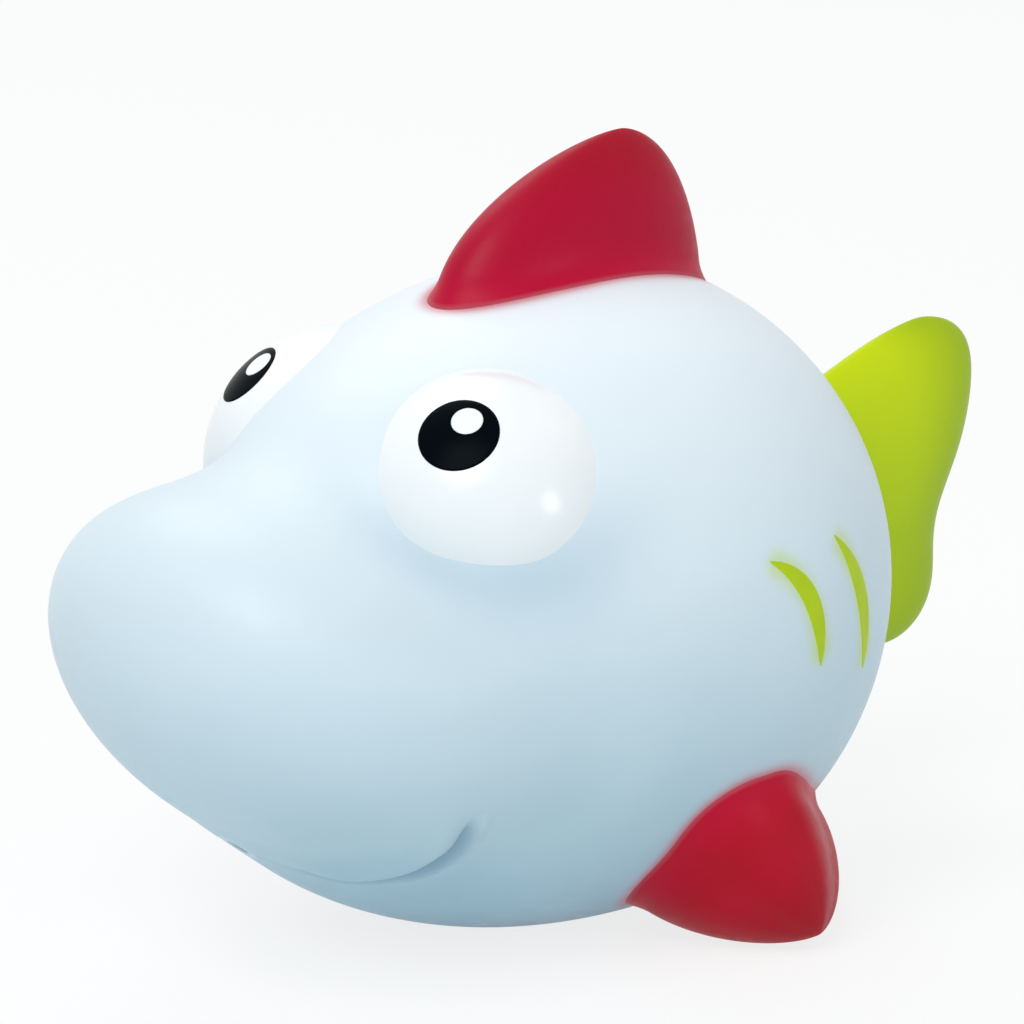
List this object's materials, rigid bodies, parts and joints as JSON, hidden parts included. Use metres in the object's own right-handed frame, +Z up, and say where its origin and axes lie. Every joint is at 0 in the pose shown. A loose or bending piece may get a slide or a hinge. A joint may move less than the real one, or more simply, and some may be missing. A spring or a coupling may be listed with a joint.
{
  "type": "fish squirt bath toy",
  "caption": "Hollow soft vinyl fish that squirts water from its mouth when its flanks are pressed; bulging eyes, puffed muzzle, soft fins that bend and spring back.",
  "frame": {"origin": "middle of the flat under the belly, on the surface the fish rests on", "axes": "+X from nose to tail, +Y to the fish's right, +Z up through the back fin"},
  "size_m": [0.0898, 0.0512, 0.0616],
  "materials": {
    "vinyl_blue": "satin, soft",
    "eye_white": "gloss",
    "pupil_black": "gloss",
    "fin_red": "satin, sprayed",
    "fin_green": "satin, sprayed",
    "nozzle_blue": "satin"
  },
  "bodies": {
    "body": {"body_shell": "vinyl_blue", "eye_left": "eye_white", "eye_right": "eye_white", "pupil_left": "pupil_black", "pupil_right": "pupil_black", "catchlight_left": "eye_white", "catchlight_right": "eye_white", "stripe_front_left": "fin_green", "stripe_front_right": "fin_green", "stripe_rear_left": "fin_green", "stripe_rear_right": "fin_green", "squirt_nozzle": "nozzle_blue"},
    "flank_left": {"squeeze_wall_left": "vinyl_blue"},
    "flank_right": {"squeeze_wall_right": "vinyl_blue"},
    "dorsal": {"dorsal_fin": "fin_red"},
    "pectoral_left": {"pectoral_fin_left": "fin_red"},
    "pectoral_right": {"pectoral_fin_right": "fin_red"},
    "tail": {"tail_fin": "fin_green"}
  },
  "joints": [
    {"name": "squeeze_left", "type": "slide", "parent": "body", "child": "flank_left", "axis": [0, 1, 0], "range_m": [0, 0.005], "stiffness_N_per_m": 800},
    {"name": "squeeze_right", "type": "slide", "parent": "body", "child": "flank_right", "axis": [0, -1, 0], "range_m": [0, 0.005], "stiffness_N_per_m": 800},
    {"name": "dorsal_flex", "type": "hinge", "parent": "body", "child": "dorsal", "pos_m": [0.00289, 0, 0.04925], "axis": [0.9986, 0, -0.0521], "range_deg": [-12, 12], "stiffness_Nm_per_rad": 0.03},
    {"name": "pectoral_flex_left", "type": "hinge", "parent": "body", "child": "pectoral_left", "pos_m": [0.00392, -0.01809, 0.00888], "axis": [-0.9987, -0.0388, -0.033], "range_deg": [0, 10], "stiffness_Nm_per_rad": 0.03},
    {"name": "pectoral_flex_right", "type": "hinge", "parent": "body", "child": "pectoral_right", "pos_m": [0.00392, 0.01809, 0.00888], "axis": [0.9987, -0.0388, 0.033], "range_deg": [0, 10], "stiffness_Nm_per_rad": 0.03},
    {"name": "tail_wag", "type": "hinge", "parent": "body", "child": "tail", "pos_m": [0.0293, 0, 0.02804], "axis": [0, 0, 1], "range_deg": [-16, 16], "stiffness_Nm_per_rad": 0.03}
  ],
  "couplings": [
    {"joint": "squeeze_right", "follows": "squeeze_left", "ratio": 1}
  ]
}
